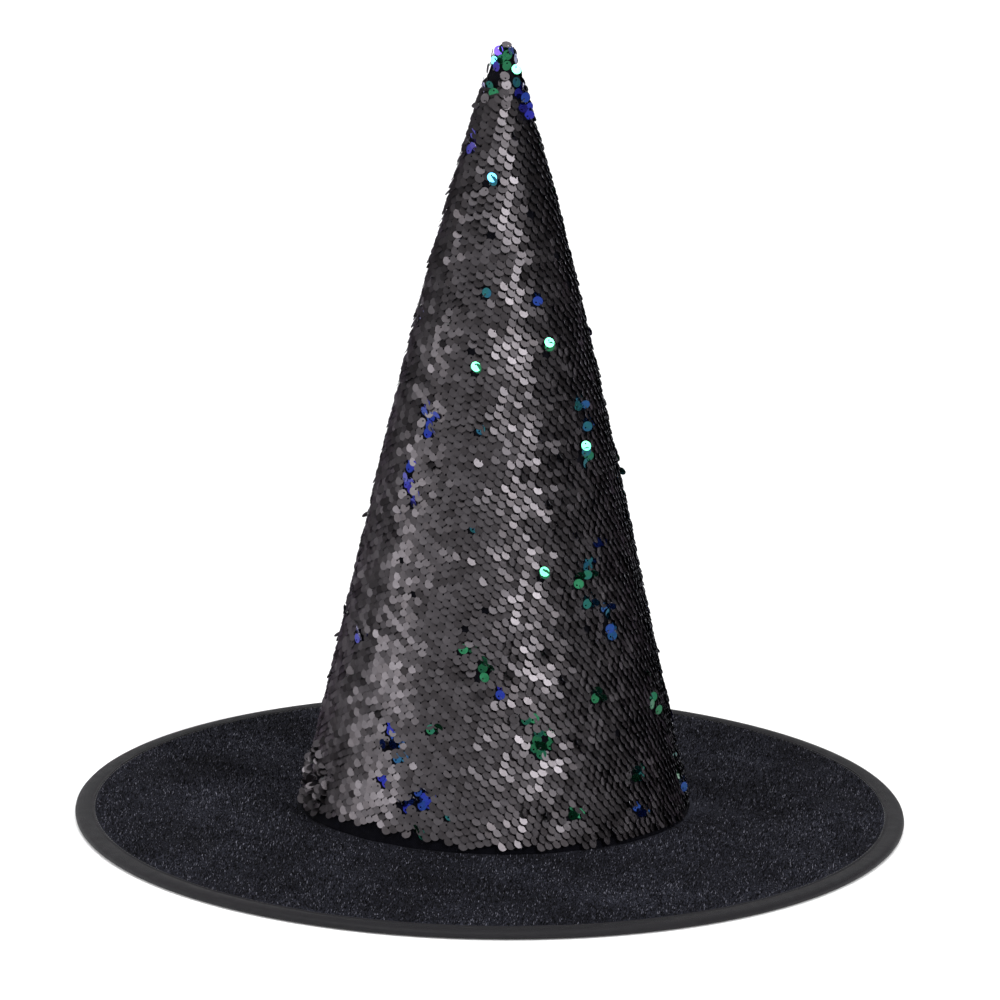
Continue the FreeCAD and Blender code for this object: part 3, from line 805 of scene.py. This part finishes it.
# --- the brim ---------------------------------------------------------------------------------
def brim_cloth(name, bottom, top, relief, hole, material, node, rings=70, columns=480):
    """A ring of cloth with thickness, from the crown's oval to under the binding."""
    share = np.linspace(0, 1, rings)
    angles = np.arange(columns) / columns * 2 * math.pi
    width, depth = hole, hole - BASE_FLATTENING
    inner = np.stack([CROWN_OFFSET + width * np.cos(angles), depth * np.sin(angles)], axis=1)
    outer = CLOTH_EDGE * np.stack([np.cos(angles), np.sin(angles)], axis=1)
    plan = inner + (outer - inner) * share[:, None, None]
    radius = np.hypot(plan[..., 0], plan[..., 1])
    free = np.clip((BINDING_INNER - radius) / (8 * MM), 0, 1)
    faces = []
    for level, rough in ((bottom, relief[0]), (top, relief[1])):
        wave = ripple(plan[..., 0], plan[..., 1], 60 * MM, 11) * 0.6
        wave += ripple(plan[..., 0], plan[..., 1], 19 * MM, 12) * 0.4
        faces.append(np.concatenate([plan, (level + rough * free * wave)[..., None]], axis=2))
    loop = np.concatenate([faces[0], faces[1][::-1]])
    uv_plan = np.concatenate([loop[..., :2], loop[:, :1, :2]], axis=1)
    uv = np.concatenate([uv_plan, uv_plan[:1]])
    mesh = skin(name, loop, uv, across=True)
    made = new_object(name, mesh, [material])
    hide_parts(node)


brim_cloth(
    "brim_velour_top", VELOUR_BOTTOM, VELOUR_TOP, (0, 0.3 * MM), VELOUR_HOLE, VELOUR,
    "brim_top_velour",
)
brim_cloth(
    "brim_underside_lining", CLOTH_BOTTOM, CLOTH_TOP, (0.12 * MM, 0), LINING_HOLE, UNDERSIDE,
    "brim_underside_cloth",
)


def make_pile():
    """The velour's pile: short flat fibres that stand up from the cloth and lie over a little."""
    count = 90000
    turn = rng.uniform(0, 2 * math.pi, count)
    share = np.sqrt(rng.uniform(0.2, 1, count))
    radius = share * (BINDING_INNER - 1.3 * MM)
    x, y = radius * np.cos(turn), radius * np.sin(turn)
    clear = ((x - CROWN_OFFSET) / PILE_HOLE) ** 2 + (y / (PILE_HOLE - BASE_FLATTENING)) ** 2 > 1
    x, y = x[clear], y[clear]
    count = len(x)
    root = np.stack([x, y, np.full(count, VELOUR_TOP - 0.15 * MM)], axis=1)
    yaw = rng.uniform(0, math.pi, count)
    half = np.stack([np.cos(yaw), np.sin(yaw), 0 * yaw], axis=1) * rng.uniform(0.16, 0.3, (count, 1)) * MM
    lie = rng.uniform(-0.4, 0.4, (count, 2)) + [0.15, -0.1]
    rise = rng.uniform(0.7, 1.25, (count, 1)) * MM
    tip = root + np.concatenate([lie * rise, rise], axis=1)
    points = np.stack([root - half, root + half, tip + half * 0.6, tip - half * 0.6], axis=1)
    mesh = bpy.data.meshes.new("velour_tufts")
    mesh.from_pydata(points.reshape(-1, 3).tolist(), [], np.arange(count * 4).reshape(-1, 4).tolist())
    mesh.attributes.new("tone", "FLOAT", "FACE").data.foreach_set("value", rng.random(count).astype(np.float32))
    mesh.update()
    made = new_object("velour_tufts", mesh, [TUFT])
    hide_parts("brim_top_velour")


make_pile()


def binding_wobble(points, angles):
    """The tape puckers a little between its stitches and wanders along its inner edge."""
    radius = np.hypot(points[..., 0], points[..., 1])
    inner = np.clip((203.5 * MM - radius) / (3 * MM), 0, 1)
    mid = (VELOUR_TOP + CLOTH_BOTTOM) / 2
    side = np.sign(points[..., 2] - mid)
    pucker = 0.06 * MM * np.sin(angles * 420) * inner
    wander = 0.22 * MM * ripple(angles * 0.2, 0 * angles, 23 * MM, 21) * inner
    points[..., 2] += np.where(side > 0, pucker, 0)
    points *= np.stack([1 + wander / radius, 1 + wander / radius, np.ones_like(radius)], axis=2)
    return points


# The tape's section, as radius and height in mm: a stitched groove on top, then round the rim and back
# along its own inside face.
BINDING_SECTION = [
    (200.4, 3.62), (200.42, 3.95), (200.75, 4.12), (201.1, 4.02), (201.5, 3.78), (202.1, 3.8),
    (202.9, 4.05), (205.6, 4.1), (207.8, 3.98), (209.2, 3.5), (209.85, 2.8), (210.0, 2.05),
    (209.85, 1.25), (209.2, 0.55), (207.8, 0.1), (205.6, 0.0), (203.2, 0.0), (201.6, 0.05),
    (200.75, 0.04), (200.42, 0.15), (200.4, 0.46), (201.2, 0.5), (205.0, 0.5), (208.2, 0.6),
    (209.2, 1.2), (209.45, 2.05), (209.2, 2.9), (208.2, 3.5), (205.0, 3.6), (201.2, 3.6),
]
binding = new_object(
    "brim_binding_tape",
    revolve("brim_binding_tape", [(r * MM, z * MM) for r, z in BINDING_SECTION[::-1]], 960, binding_wobble),
    [BINDING],
)
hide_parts("brim_edge_binding")


# --- stitches ---------------------------------------------------------------------------------
def stitches(name, places, along, out, length, radius, node):
    """Rows of short stitches that rise out of the cloth and dip back into it."""
    shares = np.array([-1, -0.75, -0.3, 0.3, 0.75, 1])
    swell = np.array([0.55, 0.9, 1, 1, 0.9, 0.55])
    rise = np.array([-1.1, -0.1, 0.35, 0.35, -0.1, -1.1]) * radius
    sides = 6
    across = unit(np.cross(along, out))
    turn = np.arange(sides) / sides * 2 * math.pi
    ring = np.cos(turn)[:, None, None] * across + np.sin(turn)[:, None, None] * out
    rows = []
    for share, fat, up in zip(shares, swell, rise):
        centre = places + along * share * length / 2 + out * up
        rows.append(centre + ring * radius * fat)
    points = np.stack(rows).transpose(2, 0, 1, 3)
    count = len(places)
    per = len(shares) * sides
    faces = []
    for n in range(count):
        start = n * per
        for i in range(len(shares) - 1):
            for k in range(sides):
                a, b = start + i * sides + k, start + i * sides + (k + 1) % sides
                faces.append((a, b, b + sides, a + sides))
        faces.append(tuple(start + k for k in reversed(range(sides))))
        faces.append(tuple(start + per - sides + k for k in range(sides)))
    mesh = bpy.data.meshes.new(name)
    mesh.from_pydata(points.reshape(-1, 3).tolist(), [], faces)
    mesh.polygons.foreach_set("use_smooth", np.ones(len(faces), bool))
    mesh.update()
    made = new_object(name, mesh, [THREAD])
    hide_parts(node)


def ring_of_stitches(half_width, half_depth, centre, height, pitch):
    """Places and directions of stitches round an oval."""
    count = int(math.pi * (half_width + half_depth) / pitch)
    turn = np.arange(count) / count * 2 * math.pi
    x, y = centre + half_width * np.cos(turn), half_depth * np.sin(turn)
    places = np.stack([x, y, height + 0 * turn], axis=1)
    along = unit(np.stack([-half_width * np.sin(turn), half_depth * np.cos(turn), 0 * turn], axis=1))
    return places, along


def oval_of(node):
    """Half width, half depth, middle across and middle height of a node's box."""
    low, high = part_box(node)
    return (high[0] - low[0]) / 2, (high[1] - low[1]) / 2, (high[0] + low[0]) / 2, (low[2] + high[2]) / 2


def make_stitches():
    """The seams of the binding, of the crown to the brim and of the sweatband."""
    seam = 200.2 * MM
    parts = []
    for height, side in ((VELOUR_TOP + 0.05 * MM, 1), (CLOTH_BOTTOM - 0.05 * MM, -1)):
        places, along = ring_of_stitches(seam, seam, 0, height, 3.1 * MM)
        parts.append((places, along, np.tile([0, 0, side], (len(places), 1))))
    joined = [np.concatenate(v) for v in zip(*parts)]
    stitches("binding_stitches", *joined, 2.6 * MM, 0.16 * MM, "binding_seam_thread")

    oval = oval_of("crown_brim_seam_thread")
    places, along = ring_of_stitches(*oval, 3.6 * MM)
    out = np.tile([0, 0, -1.0], (len(places), 1))
    stitches("crown_seam_stitches", places, along, out, 3.0 * MM, 0.16 * MM, "crown_brim_seam_thread")

    oval = oval_of("sweatband_seam_thread")
    places, along = ring_of_stitches(*oval, 3.4 * MM)
    out = unit(places * [-1, -1, 0] + [oval[2], 0, 0])
    stitches("sweatband_stitches", places, along, out, 2.8 * MM, 0.16 * MM, "sweatband_seam_thread")


def make_back_seam():
    """Stitches across the lining's closing seam, up the inside of the back."""
    low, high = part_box("back_seam_thread")
    heights = np.arange(low[2] + 0.3 * MM, high[2], 6.5 * MM)
    slope = (BASE_HALF_WIDTH - BASE_FLATTENING - TIP_RADIUS) / CROWN_HEIGHT
    depth = high[1] - 0.3 * MM - crown_point(math.pi, heights[0])[1]
    places = crown_point(np.full(len(heights), math.pi), heights, depth)
    along = np.tile([1.0, 0, 0], (len(heights), 1))
    out = np.tile(unit(np.array([0, -1.0, -slope])), (len(heights), 1))
    stitches("back_seam_stitches", places, along, out, 2.6 * MM, 0.18 * MM, "back_seam_thread")


def make_sweatband():
    """Ribbed tape inside the opening, folded over at its two edges."""
    low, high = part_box("sweatband")
    outside = (high[0] - low[0]) / 2 - BASE_HALF_WIDTH
    section = np.array([
        (0.0, 0.5), (0.0, 16), (0.0, 31.4), (0.35, 32), (0.8, 31.9), (1.05, 31.2), (1.05, 29.8), (0.8, 29.2),
        (0.8, 16), (0.8, 2.9), (1.05, 2.3), (1.05, 0.9), (0.8, 0.1), (0.35, 0.0),
    ]) * MM
    columns = 360
    angles = np.arange(columns) / columns * 2 * math.pi
    around, up = np.meshgrid(angles, low[2] + section[:, 1])
    points = crown_point(around, up, outside - section[:, :1])
    steps = np.linalg.norm(np.diff(section, axis=0, append=section[:1]), axis=1)
    down = np.concatenate([[0], np.cumsum(steps)])
    along = np.arange(columns + 1) / columns * SWEATBAND_LENGTH
    mesh = skin("sweatband_tape", points, np.stack(np.meshgrid(along, down), axis=2), across=True)
    made = new_object("sweatband_tape", mesh, [SWEATBAND])
    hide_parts("sweatband")


def make_label():
    """A blank satin tab that follows the curve of the sweatband and gapes a little at its free end."""
    low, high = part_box("care_label")
    columns, rows = 20, 16
    side = np.linspace(-0.5, 0.5, columns + 1)
    rise = np.linspace(0, 1, rows + 1)
    across, up = np.meshgrid(side * LABEL_WIDTH, low[2] + rise * (high[2] - low[2]))
    centre = crown_point(math.pi, (low[2] + high[2]) / 2)
    inset = high[1] - centre[1] - 1.5 * MM
    gape = (0.5 * MM * np.sin(across / LABEL_WIDTH * 5) + 0.9 * MM) * rise[:, None] ** 2
    around = math.pi + across / (BASE_HALF_WIDTH - BASE_FLATTENING)
    points = crown_point(around, up, inset - gape)
    mesh = skin("care_label_tab", points, np.stack([across, up], axis=2), around=False)
    made = new_object("care_label_tab", mesh, [LABEL])
    solid = made.modifiers.new("thickness", "SOLIDIFY")
    solid.thickness = 0.3 * MM
    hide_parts("care_label")


def make_tip_thread():
    """The knot that tacks the tip, with a short tail."""
    low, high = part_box("tip_thread")
    middle = np.array([(low[0] + high[0]) / 2, (low[1] + high[1]) / 2, low[2] + 0.7 * MM])
    turn = np.linspace(0, 2 * math.pi, 72)
    knot = np.stack([
        np.sin(turn) + 2 * np.sin(2 * turn), np.cos(turn) - 2 * np.cos(2 * turn), -np.sin(3 * turn)
    ], axis=1) * 0.24 * MM + middle
    rise = np.linspace(0, 1, 24)[1:]
    tail = knot[-1] + np.stack([1.1 * rise**2, 0.2 * np.sin(4 * rise), 2.6 * rise], axis=1) * MM
    path = np.concatenate([knot, tail])
    heading = unit(np.gradient(path, axis=0))
    first = unit(np.cross(heading, [0.3, 1.0, 0.2]))
    second = np.cross(heading, first)
    sides = np.arange(8) / 8 * 2 * math.pi
    rings = path[:, None] + 0.17 * MM * (
        np.cos(sides)[None, :, None] * first[:, None] + np.sin(sides)[None, :, None] * second[:, None]
    )
    mesh = skin("tip_knot", rings, np.zeros((len(path), 9, 2)))
    made = new_object("tip_knot", mesh, [THREAD])
    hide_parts("tip_thread")


make_stitches()
make_back_seam()
make_sweatband()
make_label()
make_tip_thread()

# --- CAD nodes that keep their shape ----------------------------------------------------------
for node, material in (
    ("brim_core", FELT), ("crown_stiffener", FELT), ("brim_edge_wire", WIRE), ("brim_wire_ferrule", FERRULE),
    ("sequin_thread_loops", THREAD),
):
    mesh = frame["nodes"][node].data
    mesh.materials.clear()
    mesh.materials.append(material)


# --- stage, light and camera ------------------------------------------------------------------
def make_stage():
    """A pale floor that sweeps up into a low wall all round."""
    sweep = np.array([
        (0.0001, 0), (0.4, 0), (1.2, 0), (3.0, 0), (5.5, 0),
        (6.3, 0.1), (7.0, 0.38), (7.6, 0.9), (7.9, 1.6), (8.0, 2.3),
    ])
    turn = np.arange(96) / 96 * 2 * math.pi
    radius = sweep[:, :1]
    points = np.stack([radius * np.sin(turn), radius * np.cos(turn), sweep[:, 1:] + 0 * turn], axis=2)
    mesh = skin("floor", points, np.zeros((len(sweep), 97, 2)))
    mesh.materials.append(pale_floor())
    floor = bpy.data.objects.new("floor", mesh)
    bpy.context.scene.collection.objects.link(floor)


def sunlight(name, azimuth, elevation, strength, softness):
    """An even light from far away, as wide in the sky as softness in degrees."""
    away = Vector(facing(math.radians(azimuth), math.radians(elevation)))
    lamp = bpy.data.lights.new(name, "SUN")
    lamp.energy = strength
    lamp.angle = math.radians(softness)
    made = bpy.data.objects.new(name, lamp)
    made.location = away * 3
    made.rotation_mode = "QUATERNION"
    made.rotation_quaternion = away.to_track_quat("Z", "Y")
    bpy.context.scene.collection.objects.link(made)


def softbox(name, azimuth, elevation, distance, side, power):
    """A square soft light that faces the middle of the crown."""
    away = Vector(facing(math.radians(azimuth), math.radians(elevation)))
    lamp = bpy.data.lights.new(name, "AREA")
    lamp.size = side
    lamp.energy = power
    made = bpy.data.objects.new(name, lamp)
    made.location = Vector((0, 0, 0.12)) + away * distance
    made.rotation_mode = "QUATERNION"
    made.rotation_quaternion = away.to_track_quat("Z", "Y")
    made.visible_camera = False
    bpy.context.scene.collection.objects.link(made)


def make_light():
    sunlight("key_light", 50, 42, 1.6, 14)
    sunlight("back_left_light", -140, 25, 0.17, 60)
    sunlight("top_light", 0, 90, 2.4, 50)
    softbox("left_light", -58, 27, 1.2, 0.38, 3.9)
    softbox("front_light", -12, 26, 1.0, 0.85, 1.35)
    world = bpy.data.worlds.new("studio")
    world.use_nodes = True
    world.node_tree.nodes["Background"].inputs["Color"].default_value = (0.93, 0.95, 1.0, 1)
    world.node_tree.nodes["Background"].inputs["Strength"].default_value = 0.05
    bpy.context.scene.world = world


def make_camera():
    """The view from the front: 2 m away, 12 degrees above the table, rolled by about a degree."""
    lens = bpy.data.cameras.new("camera")
    lens.sensor_width = 36
    lens.lens = 143.0
    lens.clip_start, lens.clip_end = 0.1, 100
    camera = bpy.data.objects.new("camera", lens)
    elevation, roll = math.radians(12.3), math.radians(0.9)
    distance, aim = 1.989, Vector((0.0027, 0, 0.1608))
    camera.location = aim + Vector((0, -math.cos(elevation), math.sin(elevation))) * distance
    turned = Matrix.Rotation(math.pi / 2 - elevation, 4, "X") @ Matrix.Rotation(roll, 4, "Z")
    camera.rotation_euler = turned.to_euler()
    bpy.context.scene.collection.objects.link(camera)
    bpy.context.scene.camera = camera


make_stage()
make_light()
make_camera()
bpy.context.scene.view_settings.view_transform = "Standard"
